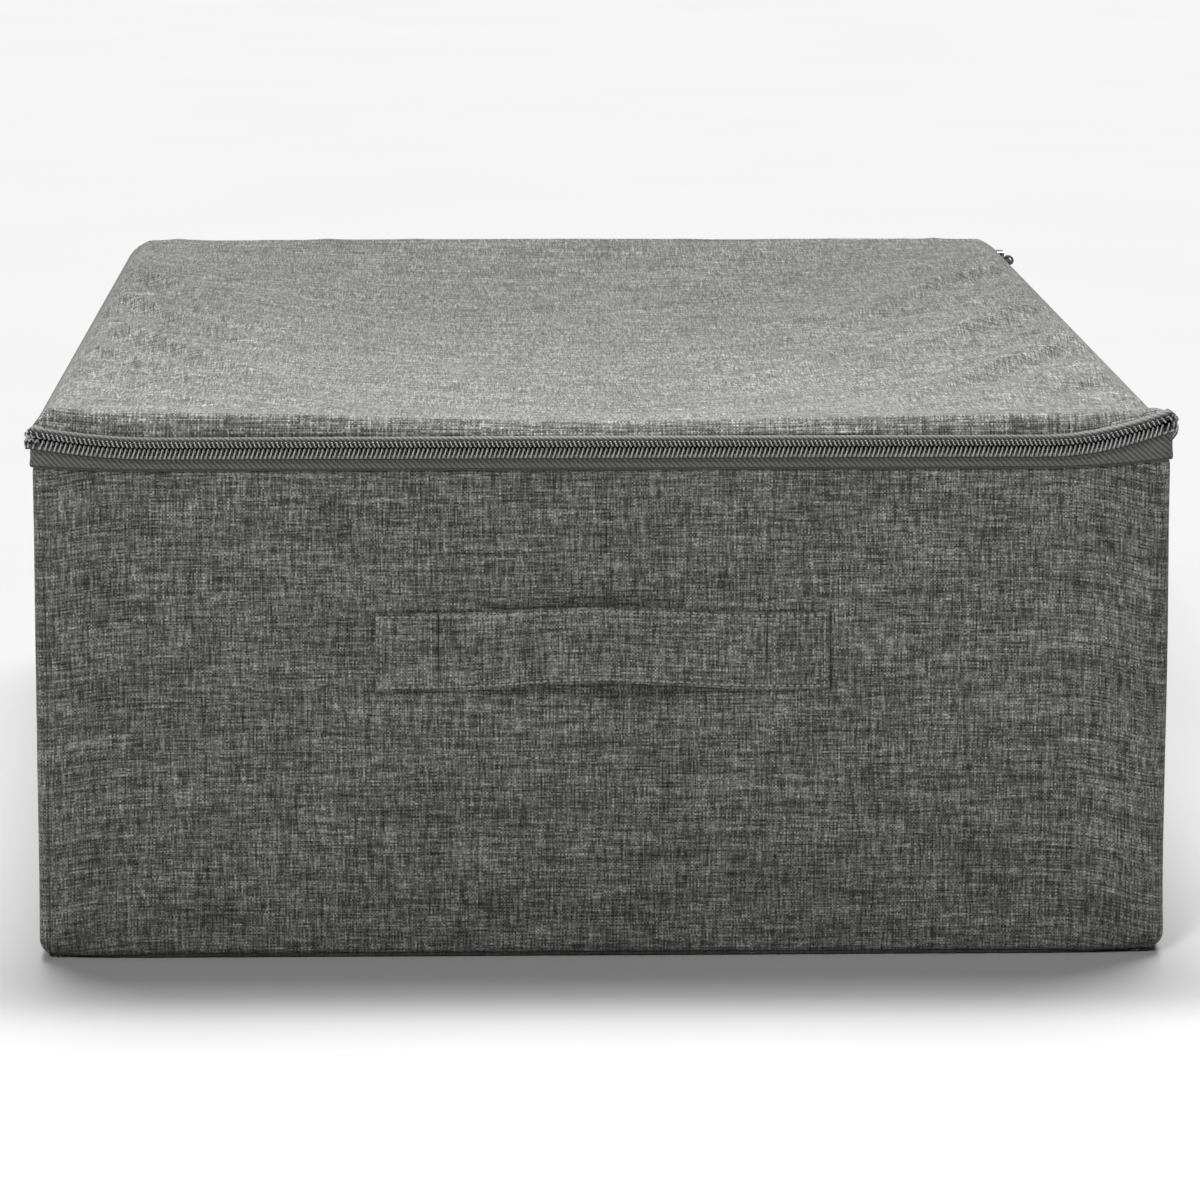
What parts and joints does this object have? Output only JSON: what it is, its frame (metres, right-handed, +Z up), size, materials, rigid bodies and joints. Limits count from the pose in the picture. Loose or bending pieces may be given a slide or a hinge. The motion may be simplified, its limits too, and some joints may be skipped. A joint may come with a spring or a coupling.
{
  "type": "under bed storage box",
  "caption": "Soft-sided fabric storage box with stiffened walls, a zipped lid hinged at the rear, a loose base and a strap handle on the front.",
  "frame": {"origin": "centre of the underside, on the surface that the box stands on", "axes": "+X to the right across the front, +Y from the front wall to the rear wall, +Z up; the zip runs round the front and both sides and the lid is hinged along +Y"},
  "size_m": [0.4122, 0.7124, 0.191],
  "materials": {
    "outer_fabric": "woven melange linen look",
    "lid_fabric": "woven melange linen look, unstiffened",
    "lining_fabric": "non-woven lining",
    "stiffening_board": "grey board, matt",
    "zip_tape": "herringbone woven tape",
    "zip_coil": "satin nylon coil",
    "slider_metal": "satin painted die casting"
  },
  "bodies": {
    "box": {"front_wall_cover": "outer_fabric", "rear_wall_cover": "outer_fabric", "left_wall_cover": "outer_fabric", "right_wall_cover": "outer_fabric", "front_wall_board": "stiffening_board", "rear_wall_board": "stiffening_board", "left_wall_board": "stiffening_board", "right_wall_board": "stiffening_board", "front_wall_lining": "lining_fabric", "rear_wall_lining": "lining_fabric", "left_wall_lining": "lining_fabric", "right_wall_lining": "lining_fabric", "bottom_cover": "outer_fabric", "bottom_lining": "lining_fabric", "bottom_welt": "outer_fabric", "rim_hem": "lining_fabric", "hinge_strip": "zip_tape", "zip_lower_tape": "zip_tape", "zip_lower_coil": "zip_coil", "zip_bottom_stop": "zip_coil", "zip_lower_stop": "zip_coil", "handle_left_end": "outer_fabric", "handle_right_end": "outer_fabric"},
    "lid": {"lid_panel": "lid_fabric", "lid_lining": "lining_fabric", "lid_rear_band": "lid_fabric", "zip_upper_tape": "zip_tape", "zip_upper_coil": "zip_coil", "zip_upper_stop": "zip_coil"},
    "zip_slider": {"slider_body": "slider_metal", "slider_bridge": "slider_metal"},
    "pull_tab": {"pull_tab": "slider_metal"},
    "base_insert": {"base_board": "stiffening_board", "base_board_cover": "lining_fabric"},
    "front_handle": {"handle_strap": "outer_fabric"}
  },
  "joints": [
    {"name": "lid_hinge", "type": "hinge", "parent": "box", "child": "lid", "pos_m": [0, 0.352, 0.182], "axis": [-1, 0, 0], "range_deg": [0, 190]},
    {"name": "slider_travel", "type": "slide", "parent": "box", "child": "zip_slider", "axis": [0, -1, 0], "range_m": [0, 0.62]},
    {"name": "pull_swing", "type": "hinge", "parent": "zip_slider", "child": "pull_tab", "pos_m": [0.2069, 0.322, 0.182], "axis": [0, -1, 0], "range_deg": [-8, 170]},
    {"name": "base_lift", "type": "slide", "parent": "box", "child": "base_insert", "axis": [0, 0, 1], "range_m": [0, 0.14]},
    {"name": "handle_pull", "type": "slide", "parent": "box", "child": "front_handle", "axis": [0, -1, 0], "range_m": [0, 0.014], "stiffness_N_per_m": 25}
  ]
}
